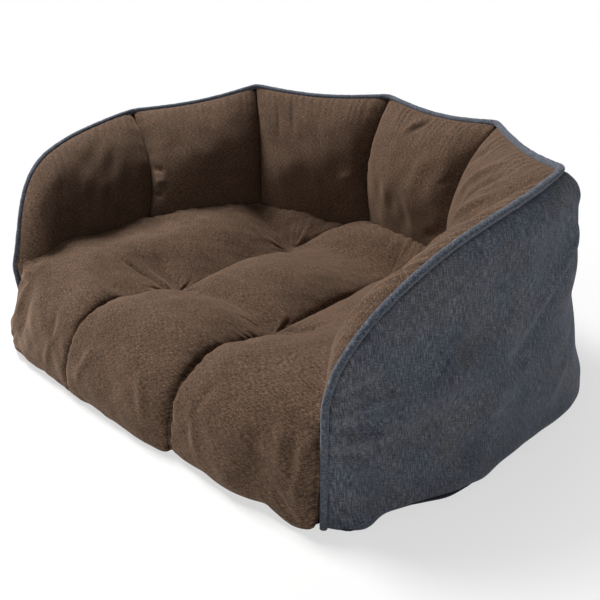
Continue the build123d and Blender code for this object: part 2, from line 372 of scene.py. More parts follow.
def rim_line():
    """Centre of the piping, smoothed: up the right front corner, round the rim and down the left one."""
    parts = []
    for panel in panels:
        share = np.linspace(0, 1, 160) ** (1.8 if panel.wing else 1.0)
        points = panel.place(share, panel.lean(share) + piping_inset, panel.rim(share))
        if panel.wing:
            upright = np.linspace(piping_foot, panel.start.rim, 40, endpoint=False)
            foot = np.concatenate([front_edge(panel, upright), upright[:, None]], -1)
            points = np.concatenate([foot, points])
        parts.append(points if panel.side > 0 else points[::-1])
    line, _ = resampled(np.concatenate(parts), 1.5)
    return resampled(smoothed(line, rim_smoothing), rim_step)


rim, rim_run = rim_line()
points_at_once = 4000


def from_rim(points):
    """The least distance from each point to the piping's centre line, and where along the line that is."""
    flat = points.reshape(-1, 3)
    gap, along = np.zeros((2, len(flat)))
    for first in range(0, len(flat), points_at_once):
        part = flat[first:first + points_at_once]
        apart = ((part[:, None] - rim[None, ::2]) ** 2).sum(-1)
        gap[first:first + points_at_once] = np.sqrt(apart.min(1))
        along[first:first + points_at_once] = rim_run[::2][apart.argmin(1)]
    return gap.reshape(points.shape[:-1]), along.reshape(points.shape[:-1])


def normals(points):
    """Unit normals of a grid of points: the cross product of its two directions."""
    return unit(np.cross(np.gradient(points, axis=0), np.gradient(points, axis=1)))


def grid_piece(name, points, chart, ring_a=False, ring_b=False, caps=False):
    """A mesh of four-sided faces over a grid of points, with a UV map of real cloth sizes.

    A ring closes on itself along that axis. A cap closes each end with triangles to its edge's middle.
    """
    rows, columns = points.shape[:2]
    a = np.arange(rows if ring_a else rows - 1)
    b = np.arange(columns if ring_b else columns - 1)
    a, b = np.meshgrid(a, b, indexing="ij")
    corners = [(0, 0), (1, 0), (1, 1), (0, 1)]
    faces = np.stack([(a + i) % rows * columns + (b + j) % columns for i, j in corners], -1).reshape(-1, 4)
    uv = np.stack([chart[a + i, b + j] for i, j in corners], 2).reshape(-1, 2)
    vertices = points.reshape(-1, 3) * MM
    faces = faces.tolist()
    if caps:
        for end in (np.arange(columns), (rows - 1) * columns + np.arange(columns)[::-1]):
            fan = np.stack([np.full(columns, len(vertices)), np.roll(end, -1), end], -1)
            faces += fan.tolist()
            uv = np.concatenate([uv, np.zeros((3 * columns, 2))])
            vertices = np.concatenate([vertices, vertices[end].mean(0)[None]])
    mesh = bpy.data.meshes.new(name)
    mesh.from_pydata(vertices.tolist(), [], faces)
    mesh.uv_layers.new(name="cloth").data.foreach_set("uv", (uv * MM).astype(np.float32).ravel())
    mesh.polygons.foreach_set("use_smooth", np.ones(len(faces), bool))
    if ring_b and signed_volume(mesh) < 0:
        mesh.flip_normals()
    mesh.update()
    piece = bpy.data.objects.new(name, mesh)
    bpy.context.scene.collection.objects.link(piece)
    return piece


def signed_volume(mesh):
    """Volume inside a closed mesh, below zero if its faces point inwards: the sum of their tetrahedra."""
    mesh.calc_loop_triangles()
    points = np.zeros(3 * len(mesh.vertices))
    mesh.vertices.foreach_get("co", points)
    points = points.reshape(-1, 3)
    triangles = np.zeros(3 * len(mesh.loop_triangles), int)
    mesh.loop_triangles.foreach_get("vertices", triangles)
    a, b, c = points[triangles.reshape(-1, 3)].transpose(1, 0, 2)
    return float((a * np.cross(b, c)).sum() / 6)


def chart_of(points):
    """Flat cloth sizes of a grid: distances run along its two directions."""
    first = np.zeros(points.shape[:2])
    second = np.zeros(points.shape[:2])
    first[1:] = np.cumsum(np.linalg.norm(np.diff(points, axis=0), axis=-1), axis=0)
    second[:, 1:] = np.cumsum(np.linalg.norm(np.diff(points, axis=1), axis=-1), axis=1)
    return np.stack([first, second], -1)


def thicken(piece):
    """Gives a single layer of cloth its thickness, inwards from its face."""
    shell = piece.modifiers.new("cloth_thickness", "SOLIDIFY")
    shell.thickness = cloth_thickness * MM
    shell.offset = -1.0


def dress(piece, material, slot, *nodes):
    """Gives a piece its finish and its body, and hides the CAD nodes that it stands for. The slot is not
    used.
    """
    piece.data.materials.append(material)
    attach(piece, "root")
    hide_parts(*nodes)


# Materials, with pattern sizes in millimetres. The photo is too coarse to measure them, so they are assumed.


def linear(code):
    """Linear colour of an sRGB hex value."""
    channels = [int(code[i:i + 2], 16) / 255 for i in (1, 3, 5)]
    return tuple(c / 12.92 if c <= 0.04045 else ((c + 0.055) / 1.055) ** 2.4 for c in channels) + (1.0,)


def put(tree, kind, links=(), settings=(), stops=(), **properties):
    """Adds a node with its properties, its socket values, its colour stops in sRGB and the links into it."""
    node = tree.nodes.new(kind)
    for name, value in properties.items():
        setattr(node, name, value)
    for socket, value in dict(settings).items():
        node.inputs[socket].default_value = value
    for socket, source in dict(links).items():
        tree.links.new(source, node.inputs[socket])
    for number, (place, code) in enumerate(stops):
        if number > 1:
            node.color_ramp.elements.new(place)
        node.color_ramp.elements[number].position = place
        node.color_ramp.elements[number].color = linear(code)
    return node


def new_material(name):
    """A material that holds a Principled shader and its output."""
    material = bpy.data.materials.new(name)
    material.use_nodes = True
    tree = material.node_tree
    tree.nodes.clear()
    shader = put(tree, "ShaderNodeBsdfPrincipled")
    output = put(tree, "ShaderNodeOutputMaterial")
    tree.links.new(shader.outputs["BSDF"], output.inputs["Surface"])
    return material, tree, shader


def threads(tree, uv, length, width, turned):
    """Streaks of uneven yarn along the cloth, or up it when turned: noise drawn out to real sizes."""
    along, across = 1 / (length * MM), 1 / (width * MM)
    scale = (across, along, 1.0) if turned else (along, across, 1.0)
    drawn = put(tree, "ShaderNodeMapping", {"Vector": uv}, {"Scale": scale}).outputs["Vector"]
    settings = {"Scale": 1.0, "Detail": 2.0, "Roughness": 0.6}
    return put(tree, "ShaderNodeTexNoise", {"Vector": drawn}, settings).outputs["Fac"]


def weave(tree, uv, weft, warp, share):
    """Height of the yarns, each of a length and width: streaks along the cloth mixed with streaks up it."""
    yarns = {"A": threads(tree, uv, *weft, False), "B": threads(tree, uv, *warp, True)}
    return put(tree, "ShaderNodeMix", yarns, {"Factor": share}, data_type="FLOAT").outputs["Result"]


def blotches(tree, size):
    """Patches where the nap lies another way: even noise of a real size in the row frame."""
    place = put(tree, "ShaderNodeTexCoord").outputs["Object"]
    settings = {"Scale": 1 / (size * MM), "Detail": 2.0, "Roughness": 0.55}
    return put(tree, "ShaderNodeTexNoise", {"Vector": place}, settings).outputs["Fac"]


def shaded(tree, colour, value, change):
    """A colour times a grey, from one less the change to one more as the value goes from 0.3 to 0.7."""
    span = {"From Min": 0.3, "From Max": 0.7, "To Min": 1 - change, "To Max": 1 + change}
    level = put(tree, "ShaderNodeMapRange", {"Value": value}, span).outputs["Result"]
    same = {"Red": level, "Green": level, "Blue": level}
    grey = put(tree, "ShaderNodeCombineColor", same).outputs["Color"]
    blend = dict(data_type="RGBA", blend_type="MULTIPLY")
    return put(tree, "ShaderNodeMix", {"A": colour, "B": grey}, {"Factor": 1.0}, **blend).outputs["Result"]


def finished(tree, shader, colour, height, strength, depth, levels):
    """Gives the shader its colour, its levels, and a bump of the height with a strength and a depth."""
    tree.links.new(colour, shader.inputs["Base Color"])
    for socket, level in levels.items():
        shader.inputs[socket].default_value = level
    bump = put(tree, "ShaderNodeBump", {"Height": height}, {"Strength": strength, "Distance": depth * MM})
    tree.links.new(bump.outputs["Normal"], shader.inputs["Normal"])


def nest_cloth():
    """Chenille cloth, warm brown: woven both ways from fuzzy yarns of two browns, matt with a soft nap."""
    material, tree, shader = new_material("brown_chenille")
    uv = put(tree, "ShaderNodeUVMap", uv_map="cloth").outputs["UV"]
    yarn = weave(tree, uv, (5.0, 0.8), (3.6, 0.8), 0.4)
    browns = [(0.38, "#2a1d14"), (0.5, "#4d3a2d"), (0.62, "#79614e")]
    colour = put(tree, "ShaderNodeValToRGB", {"Fac": yarn}, stops=browns).outputs["Color"]
    colour = shaded(tree, colour, threads(tree, uv, 50.0, 12.0, False), 0.1)
    colour = shaded(tree, colour, blotches(tree, 45.0), 0.1)
    finished(tree, shader, colour, yarn, 0.35, 1.0, {
        "Roughness": 0.92, "Specular IOR Level": 0.25,
        "Sheen Weight": 0.55, "Sheen Roughness": 0.4, "Sheen Tint": linear("#b79a83"),
    })
    return material


def outer_cloth_finish():
    """Chenille cloth, blue-grey: slubs of two greys woven over a fine weft, seen as upright flecks."""
    material, tree, shader = new_material("blue_grey_chenille")
    uv = put(tree, "ShaderNodeUVMap", uv_map="cloth").outputs["UV"]
    yarn = weave(tree, uv, (5.5, 0.8), (9.5, 0.9), 0.54)
    blues = [(0.38, "#2a2e38"), (0.5, "#464b55"), (0.62, "#696f7a")]
    greys = [(0.38, "#2f3036"), (0.5, "#4d4e54"), (0.62, "#727379")]
    ramps = [put(tree, "ShaderNodeValToRGB", {"Fac": yarn}, stops=stops) for stops in (blues, greys)]
    span = {"From Min": 0.4, "From Max": 0.6}
    where = put(tree, "ShaderNodeMapRange", {"Value": blotches(tree, 50.0)}, span).outputs["Result"]
    mixed = {"A": ramps[0].outputs["Color"], "B": ramps[1].outputs["Color"], "Factor": where}
    colour = put(tree, "ShaderNodeMix", mixed, data_type="RGBA").outputs["Result"]
    colour = shaded(tree, colour, threads(tree, uv, 60.0, 14.0, True), 0.12)
    colour = shaded(tree, colour, blotches(tree, 60.0), 0.12)
    finished(tree, shader, colour, yarn, 0.35, 1.0, {
        "Roughness": 0.9, "Specular IOR Level": 0.25,
        "Sheen Weight": 0.3, "Sheen Roughness": 0.45, "Sheen Tint": linear("#a5a9b2"),
    })
    return material


def piping_finish():
    """The blue-grey chenille, cut on the bias and drawn tight over a cord, which opens and lightens it."""
    material, tree, shader = new_material("blue_grey_bias_piping")
    uv = put(tree, "ShaderNodeUVMap", uv_map="cloth").outputs["UV"]
    bias_cut = {"Rotation": (0, 0, math.radians(45))}
    turned = put(tree, "ShaderNodeMapping", {"Vector": uv}, bias_cut).outputs["Vector"]
    # The yarns, taken as 0.8 mm wide like the wall's, are drawn as coarse as they need to show on a thin tube
    yarn = weave(tree, turned, (4.5, 1.4), (4.5, 1.4), 0.5)
    blues = [(0.38, "#2c303a"), (0.5, "#434852"), (0.62, "#656b77")]
    colour = put(tree, "ShaderNodeValToRGB", {"Fac": yarn}, stops=blues).outputs["Color"]
    colour = shaded(tree, colour, blotches(tree, 12.0), 0.1)
    finished(tree, shader, colour, yarn, 0.5, 1.0, {
        "Roughness": 0.88, "Specular IOR Level": 0.3, "Sheen Weight": 0.2, "Sheen Roughness": 0.5,
    })
    return material


def base_finish():
    """Spunbonded non-slip base cloth, near-black navy: a dull felted sheet with a fine pressed dimple."""
    material, tree, shader = new_material("black_base_cloth")
    # The dimples, taken as about 1 mm, are drawn as coarse as they need to show
    grain = blotches(tree, 2.0)
    navies = [(0.35, "#101218"), (0.65, "#232630")]
    colour = put(tree, "ShaderNodeValToRGB", {"Fac": grain}, stops=navies).outputs["Color"]
    finished(tree, shader, colour, grain, 0.4, 0.6, {"Roughness": 0.85, "Specular IOR Level": 0.3})
    return material


def thread_finish():
    """Bonded nylon upholstery thread, dark brown: a thin twisted line with a slight gloss."""
    material, tree, shader = new_material("brown_nylon_thread")
    # The twist, taken as about 0.5 mm, is drawn as coarse as it needs to show
    twist = blotches(tree, 1.2)
    browns = [(0.35, "#241a12"), (0.65, "#4a3828")]
    colour = put(tree, "ShaderNodeValToRGB", {"Fac": twist}, stops=browns).outputs["Color"]
    finished(tree, shader, colour, twist, 0.3, 0.3, {"Roughness": 0.5})
    return material


brown = nest_cloth()
blue = outer_cloth_finish()
bias = piping_finish()
black = base_finish()
thread = thread_finish()


# The seat

column_seam_x = 95.0
# How far the seat stops short of the wall at its sides and behind, and laps over the nest's front corners
seat_side_gap = 0.5
seat_rear_gap = 0.8
seat_front_lap = 0.8
seat_half_width = right_front.nest[0] - seat_side_gap
seat_foot_height = 2.6
front_tuft_line = front_line + 129.0
rear_tuft_line = rear.nest[1] - 82.0
# Where the seat's left seam starts to slant, and how far from the middle it ends
slant_start = rear_tuft_line + 3.0
slant_end_x = 6.0
# Where the rows of its top start behind the front line
top_start = front_line + 62.0
tuft_lines = (front_tuft_line, rear_tuft_line)
tuft_places = [(x, y) for x in (-column_seam_x, column_seam_x) for y in tuft_lines]

# The seat's front at nine places from left to right: its overhang and height, from the foot up
front_places = (
    -seat_half_width, -235.0, -186.0, -column_seam_x, 0.0, column_seam_x, 186.0, 235.0, seat_half_width,
)
front_profiles = np.array([
    [(6, 3), (8, 9), (8, 23), (6, 45), (2, 70), (0, 98), (-3, 115), (-9, 131)],
    [(35, 3), (39, 9), (41, 23), (37, 44), (24, 68), (10, 94), (-3, 112), (-20, 125)],
    [(40, 3), (44, 9), (46, 23), (44, 41), (36, 66), (20, 92), (-2, 112), (-28, 123)],
    [(45, 3), (46, 9), (45, 23), (41, 46), (31, 73), (13, 91), (-13, 98), (-44, 98)],
    [(41, 3), (43, 9), (44, 23), (42, 42), (33, 67), (17, 91), (-5, 111), (-30, 121)],
    [(32, 3), (33, 9), (31, 23), (26, 46), (16, 70), (3, 84), (-20, 92), (-51, 94)],
    [(27, 3), (32, 9), (34, 23), (33, 42), (28, 67), (13, 92), (-8, 111), (-32, 121)],
    [(17, 3), (21, 9), (24, 23), (24, 42), (20, 67), (10, 91), (-6, 110), (-24, 121)],
    [(9, 3), (9, 9), (7, 23), (4, 45), (3, 68), (1, 90), (-1, 108), (-8, 123)],
], float)
lobe_columns = 88
front_rows = 64
top_rows = 190


def lobe_places(start, end):
    """Places across one lobe, closer together at its two seams."""
    return start + (end - start) * crowded(lobe_columns, 0.68)[:, None]


# Heights of the seat from front to back: along its two seams and over its three columns
lobe_lines = (front_line, -185.0, front_tuft_line, -40.0, 20.0, 80.0, rear_tuft_line, 165.0, nest_back[1])
left_valley = (98, 97, 87, 83, 82, 83, 87, 115, 134)
right_valley = (95, 94, 87, 82, 82, 83, 89, 133, 142)
left_tops = (123, 131, 132, 136, 141, 144, 145, 147, 143)
centre_tops = (119, 127, 129, 127, 121, 108, 112, 133, 136)
right_tops = (119, 127, 127, 126, 126, 131, 138, 145, 146)
# How deep the middle column dips at the front and the rear tufts, the outer two at both, and each tuft
middle_dips = (28, 12)
outer_dip = 29
tuft_pit_depth = 4.5
tuft_pit_width = 20
tuft_line_width = 60
# Heights of the creases round each tuft, in the order of their places
tuft_crease_heights = (2.4, 2.4, 2.4, 1.2)
seam_groove_depth = 3.6
seam_groove_width = 3.4
outer_arch_width = 96
# How much higher the lobes stand against the wall, and in the left and the right front corner
wall_lift = 7
wall_lift_width = 38
left_corner_lift = 13
right_corner_lift = 7
corner_lift_width = 60
# Radius of the seat's edge at its front, and how much larger it is along the wings and at the back
front_edge_radius = 5
wing_edge_gain = 7
rear_edge_gain = 5


def seam_at(x, y):
    """Distance of a seam from the middle. The left one slants to the wall's rear seam behind its tuft."""
    share = np.clip((y - slant_start) / (nest_back[1] - slant_start), 0, 1)
    return column_seam_x - (column_seam_x - slant_end_x) * share * (x < 0)


def fullness(x, y):
    """How full a column is at a place across it: an arch from nothing at a seam to one, softer by a tuft."""
    a = np.abs(x)
    seam = seam_at(x, y)
    by_tuft = sum(bell(y - line, tuft_line_width) for line in tuft_lines)
    power = np.where(a < seam, 0.74, np.where(x < 0, 1.15, 0.88)) + 0.5 * by_tuft
    return rounded(np.where(a < seam, 1 - a / seam, (a - seam) / outer_arch_width), power=power)


def nest_gap(x, y):
    """Distance in from the edge of the nest floor: the least distance to its straight sides."""
    corners = [np.array(corner) for corner in (nest_front, nest_wing, nest_corner, nest_back)]
    gap = np.full(np.shape(x), 1e9)
    for start, end in zip(corners[:-1], corners[1:]):
        along = unit(end - start)
        gap = np.minimum(gap, (np.abs(x) - start[0]) * -along[1] + (y - start[1]) * along[0])
    return gap


def tuft_dips(x, y):
    """How deep the lobes dip along the lines of tufts: a steep bell of the distance, wider off a tuft."""
    a = np.abs(x)
    width = 16 + 20 * ease(np.abs(a - column_seam_x) / 75)
    beside = outer_dip * (1 - ease((a - 130) / 85))
    dip = 0.0
    for line, depth in zip(tuft_lines, middle_dips):
        dip = dip + np.where(a < column_seam_x, depth, beside) * np.exp(-(np.abs((y - line) / width) ** 1.2))
    return dip


def seat_height(x, y):
    """Height of the seat: valleys along its seams, three rows of lobes between, and four sunk tufts.

    It is the valley's height, plus the fullness times the rise to the lobe's top less its dips, less a bell
    at each tuft. Bells of the distance from the wall and from the two front corners lift it there.
    """
    valley = np.where(x > 0, curve(lobe_lines, right_valley, y), curve(lobe_lines, left_valley, y))
    left, centre, right = [curve(lobe_lines, tops, y) for tops in (left_tops, centre_tops, right_tops)]
    seam = seam_at(x, y)
    top = np.select([x < -seam, x < seam], [left, centre], right)
    height = valley + fullness(x, y) * (top - valley - tuft_dips(x, y))
    for tuft_x, tuft_y in tuft_places:
        height = height - tuft_pit_depth * bell(np.hypot(x - tuft_x, y - tuft_y), tuft_pit_width)
    gap = np.clip(nest_gap(x, np.maximum(y, front_line)), 0, None)
    near_wall = bell(gap, wall_lift_width) * ease((y + 130) / 70) * ease((np.abs(x) - 70) / 80)
    height = height + wall_lift * near_wall
    corner = np.hypot(np.abs(x) - nest_front[0], 0.6 * (y - front_line))
    return height + np.where(x < 0, left_corner_lift, right_corner_lift) * bell(corner, corner_lift_width)


def row_place(x, v, half, side_y, centre_y):
    """How far back a row of the top is: its middle's place less a lag, a power of the half width's share."""
    return centre_y - (centre_y - side_y) * (np.abs(x) / half) ** (1 + 1.5 * (1 - v))


def seat_columns(v, half, side_y, centre_y):
    """Places across every row of the seat: three lobes, whose seams stay on columns of the grid."""
    # The left seam's slant goes by how far back each row crosses it
    seam_y = 0.5 * (row_place(column_seam_x, v, half, side_y, centre_y) + centre_y)
    widths = np.concatenate([np.full(front_rows, right_front.nest[0] + seat_front_lap), half])
    left_seam = np.concatenate([np.full(front_rows, -column_seam_x), -seam_at(-1.0, seam_y)])
    right_seam = np.full_like(left_seam, column_seam_x)
    return np.concatenate([
        lobe_places(-widths, left_seam)[:-1],
        lobe_places(left_seam, right_seam)[:-1],
        lobe_places(right_seam, widths),
    ])


def seat_front(x):
    """Distance back and height of the seat's front at places across it, on rows from its foot to its top.

    It is a smooth line through control points, the last of them on the top. Between two of the nine listed
    places the points blend by a rounded rise from a seam or a rounded fall to one, like round pillows.
    """
    places = np.array(front_places)
    k = np.clip(np.searchsorted(places, x, side="right") - 1, 0, len(places) - 2)
    t = (x - places[k]) / (places[k + 1] - places[k])
    kinds = [k == 0, (k == 1) | (k == 6), (k == 2) | (k == 4), (k == 3) | (k == 5)]
    blends = [rounded(t, 3.4, 0.62), ease(t), 1 - rounded(1 - t, 2.5), rounded(t, 2.5)]
    blend = np.select(kinds, blends, 1 - rounded(1 - t, 9))
    profile = front_profiles[k] + (front_profiles[k + 1] - front_profiles[k]) * blend[:, None, None]
    control = np.stack([front_line - profile[..., 0], profile[..., 1]], -1)
    start = np.full_like(x, top_start)
    control = np.concatenate([control, np.stack([start, seat_height(x, start)], -1)[:, None]], axis=1)
    return spline(control.transpose(1, 0, 2), front_rows + 1)[:-1].transpose(1, 0, 2)


def seat_points():
    """Grid of the seat's face, up its front and back over its top, before its creases.

    The top's rows run straight across at the front, and bend to follow the two rear walls at the back. The
    edges roll down on a quarter round.
    """
    v = np.linspace(0, 1, top_rows)
    v = v + 0.15 * np.sin(math.pi * v) * (v - 0.5)
    side_y = front_line + (right_corner.nest[1] - front_line) * v
    centre_y = front_line + (rear.nest[1] - seat_rear_gap - front_line) * v
    sides = np.array([seam.nest for seam in (right_front, right_wing, right_corner)])
    half = np.interp(side_y, sides[:, 1], sides[:, 0] - seat_side_gap)
    across = seat_columns(v, half, side_y, centre_y)
    x_front, x_top = across[:, :front_rows], across[:, front_rows:]
    y_top = row_place(x_top, v, half, side_y, centre_y)
    # Rows of the top start where the front's last control point is
    y_top = top_start + (y_top - front_line) * (y_top[:, -1:] - top_start) / (y_top[:, -1:] - front_line)
    top = np.stack([x_top, y_top, seat_height(x_top, y_top)], -1)
    front = np.concatenate([x_front[..., None], seat_front(x_front[:, 0])], -1)
    face = np.concatenate([front, top], axis=1)
    x, y = face[..., 0], face[..., 1]
    radius = front_edge_radius + wing_edge_gain * ease((y - front_line) / 110)
    radius = radius + rear_edge_gain * ease((y - 20) / 80)
    inside = nest_gap(x, np.maximum(y, front_line)) / radius
    face[..., 2] -= radius * (1 - rounded(inside)) * ease((y - front_line + 30) / 40)
    return face


# Creases out from the front tufts: start and end by distance from the tuft, width and height
front_tuft_folds = [
    ((-18, 7), (92, -36), 4.5, -6.5), ((-12, 2), (84, -6), 6.0, 3.6), ((-12, 0), (76, 22), 5.0, -4.0),
]
# Pulls in the front, most towards its corners: start and end by distance from the middle and up the front
corner_pulls = [
    ((282, -6), (232, 46), 5, -2.7), ((280, -4), (210, 22), 5, 2.2), ((282, 18), (240, 80), 5.5, 2.2),
    ((284, 96), (232, 108), 4, -2.9), ((284, 108), (226, 126), 4, 2.6), ((284, 124), (234, 144), 4, -2.5),
    ((262, 24), (256, 106), 6, -2.4), ((246, 40), (238, 124), 7, 2.1), ((150, 10), (122, 88), 7, 2.2),
    ((70, 16), (42, 96), 7, 2.1), ((124, 36), (152, 124), 6, -2.0), ((222, 20), (216, 104), 7, -1.9),
]


def tuft_creases(x, y, z):
    """Creases that radiate from the tufts: cosines of the turn round each, under a bell of the distance."""
    creases = 0.0
    for number, ((tuft_x, tuft_y), strength) in enumerate(zip(tuft_places, tuft_crease_heights)):
        r = np.hypot(x - tuft_x, y - tuft_y)
        turn = np.arctan2(y - tuft_y, x - tuft_x)
        turn = turn + 0.25 * np.sin(3 * turn + number) + 0.15 * np.sin(r / 14)
        spokes = np.abs(np.cos(4.5 * turn + number)) + 0.6 * np.abs(np.cos(6.5 * turn + 2 * number)) - 1.0
        creases = creases + strength * spokes * bell(r - 20, 17) * ease(z - 60)
    # The longest run out from the two front tufts, between the front lobe and the one behind it
    for side in (-1, 1):
        creases = creases + folds(side * x - column_seam_x, y - front_tuft_line, front_tuft_folds)
    return creases


def seam_creases(x, y, up):
    """The narrow grooves in which the two seams are sewn down, which end at the tufts, and their puckers."""
    creases = 0.0
    for number, seam in enumerate((-column_seam_x, column_seam_x)):
        # Points beyond the middle count as far away, and the right seam's groove runs out at its rear tuft
        away = np.abs(x) - seam_at(x, y) + 400.0 * (x * seam < 0)
        sewn = 1 - ease((y - 118) / 16) * (seam > 0)
        for line in tuft_lines:
            sewn = sewn * (1 - bell(np.hypot(x - seam, y - line), 12))
        creases = creases - seam_groove_depth * sewn * np.exp(-((np.abs(away) / seam_groove_width) ** 1.3))
        creases = creases + gathers(21 + 2 * number, 15, up, away, 13, 1.1) * ease((-y - 60) / 60)
    return creases


def seat_wrinkles(face):
    """Height along its normals of the seat's unevenness, creases, pulls and gathers, added together."""
    x, y, z = face.transpose(2, 0, 1)
    up = chart_of(face)[..., 1]
    wrinkle = 1.5 * unevenness(11, 95, x, y, z) + 0.5 * unevenness(12, 34, x, y, z)
    wrinkle = wrinkle + tuft_creases(x, y, z) + seam_creases(x, y, up)
    wrinkle = wrinkle + folds(x, up, corner_pulls) + folds(-x, up, corner_pulls)
    # Gathers where the seat is drawn in under the wall
    gap = nest_gap(x, y)
    along = np.where(np.abs(x) > nest_corner[0], y, x)
    drawn_in = gathers(31, 21, along, gap, 17, 1.7) + gathers(33, 33, along, gap, 30, 1.4)
    return wrinkle + drawn_in * ease((y + 120) / 120)


def seat():
    """The tufted seat: one sewn bag, whose face is closed straight down behind and level below."""
    smooth = seat_points()
    face = smooth + normals(smooth) * seat_wrinkles(smooth)[..., None]
    face[..., 2] = np.maximum(face[..., 2], seat_foot_height)
    last = face[:, -1:]
    behind = last.repeat(3, axis=1)
    behind[..., 2] = last[..., 2] + (seat_foot_height - last[..., 2]) * (0.3, 0.6, 1.0)
    under = behind[:, -1:] + (face[:, :1] - behind[:, -1:]) * np.linspace(0, 1, 9)[1:-1, None]
    under[..., 2] = seat_foot_height
    points = np.concatenate([face, behind, under], axis=1)
    chart = chart_of(np.concatenate([smooth, behind, under, smooth[:, :1]], axis=1))
    chart[..., 0] = points[:, :1, 0]
    piece = grid_piece("seat_cushion", points, chart, ring_b=True, caps=True)
    fills = ("seat_fill_left", "seat_fill_centre", "seat_fill_right")
    dress(piece, brown, "nest_chenille", "seat_cover", *fills)


# The wall

# How far the wall's outside stands off the straight line from base to rim, at shares of its height
swell_places = (0.0, 0.03, 0.1, 0.2, 0.33, 0.47, 0.62, 0.76, 0.86, 0.93, 0.97, 1.0)
swells = (5.0, 9.0, 12.0, 14.0, 14.0, 13.0, 16.5, 20.5, 21.0, 19.0, 13.0, 2.0)
# Towards the front of a wing the cloth runs flat into the piping
front_swells = (5.0, 9.0, 12.0, 14.0, 14.0, 12.5, 11.5, 9.5, 7.0, 4.5, 3.0, 2.0)
front_flat_end = 120
front_flat_blend = 150
corner_rounding = 26
# How far its hem bulges over the base and how high it stands, at distances from the front corner
hem_places = (0, 8, 18, 28, 40, 52, 72, 94, 118, 137, 152, 172, 202, 232, 255, 285, 315, 350, 386, 900)
hem_bulges = (0, 12, 19, 18, 14, 11, 11, 15, 19, 17, 13, 7, 0, -4, -5, -4, -2, 0, -1, 0)
hem_heights = (2, 2, 2.2, 2.5, 3.5, 5, 7, 8, 8, 8, 6, 4, 4, 5, 7, 6, 5, 4, 4, 5)
hem_bulge_height = 38
hem_tuck = 4.0
hem_tuck_share = 0.035
outer_top_drop = 2.0


def outer_shape(panel, share, v):
    """Distance in and height of the wall's outside, at a share of the panel and a share of the height.

    It is the straight line from hem to rim, less a swell by height, less a bulge over the hem that dies away
    up the wall. Its lowest part tucks in on a quarter round.
    """
    lean = panel.lean(share)
    run = panel.run(share)
    hem = curve(hem_places, hem_heights, run)
    height = hem + (panel.rim(share) - outer_top_drop - hem) * v
    flat = curve(swell_places, front_swells, v)
    swell = flat + (curve(swell_places, swells, v) - flat) * ease((run - front_flat_end) / front_flat_blend)
    swell = swell * rounded(run / corner_rounding) * (0.35 + 0.65 * np.clip(lean / 50, 0, 1.1))
    swell = swell + curve(hem_places, hem_bulges, run) * np.exp(-height / hem_bulge_height)
    return lean * v - swell + hem_tuck * (1 - rounded(v / hem_tuck_share)), height


pad_rows = 92
pad_step = 1.7
# The pad's foot lies below the seat's edge, and its head behind and below the middle of the piping
pad_foot_drop = 24.0
pad_head_in = 3.6
pad_head_drop = 1.5
# Its back stands this far inside the outer cover, and its cloth this far from the next pad's in the pattern
pad_back_in = 8.0
cloth_apart = 400.0
# Shares of a wing pad over which its crown rises at the front and falls at the rear
wing_front_arch = 0.42
wing_rear_arch = 0.28
full_crown_length = 120
# The head of each seam is pulled back and down, which leaves a small pocket under the piping
pinch_back = 3.0
pinch_down = 6.5
# Folds of single channels: start and end in shares across and up, width and height
pad_folds = {
    "left_side": [
        ((0.0, 0.50), (0.18, 0.44), 4.5, -6.5), ((0.0, 0.38), (0.19, 0.36), 5.5, 4.5),
        ((0.0, 0.30), (0.15, 0.26), 4.0, -4.5), ((0.02, 0.16), (0.22, 0.1), 5.0, -3.0),
        ((0.30, 0.30), (0.62, 0.18), 9.0, 2.4), ((0.55, 0.98), (0.62, 0.72), 6.0, -2.4),
    ],
    "left_back": [
        ((0.17, 1.0), (0.2, 0.6), 5.0, -3.0), ((0.3, 1.0), (0.33, 0.62), 6.0, -2.8),
        ((0.95, 0.30), (0.66, 0.18), 7.0, -3.0), ((0.96, 0.42), (0.72, 0.40), 6.0, 2.4),
    ],
    "right_back": [
        ((0.45, 1.0), (0.62, 0.82), 4.0, -3.6), ((0.52, 1.0), (0.70, 0.80), 4.5, 3.0),
        ((0.0, 0.62), (0.2, 0.54), 5.0, -3.0), ((0.02, 0.28), (0.3, 0.14), 6.0, -3.0),
    ],
    "right_side": [
        ((0.30, 1.0), (0.80, 0.55), 7.0, 5.5), ((0.20, 0.94), (0.68, 0.42), 6.0, -4.6),
        ((0.12, 0.84), (0.5, 0.4), 6.0, 4.0), ((0.66, 0.96), (0.95, 0.7), 6.0, -3.4),
    ],
    "left_wing": [
        ((0.93, 0.45), (1.0, 0.40), 5.0, -3.5), ((0.50, 0.95), (0.62, 0.55), 9.0, -2.4),
        ((0.70, 0.30), (0.96, 0.20), 8.0, -3.0),
    ],
    "right_wing": [((0.35, 0.95), (0.48, 0.55), 9.0, -2.4), ((0.55, 0.95), (0.70, 0.50), 9.0, 2.4)],
}


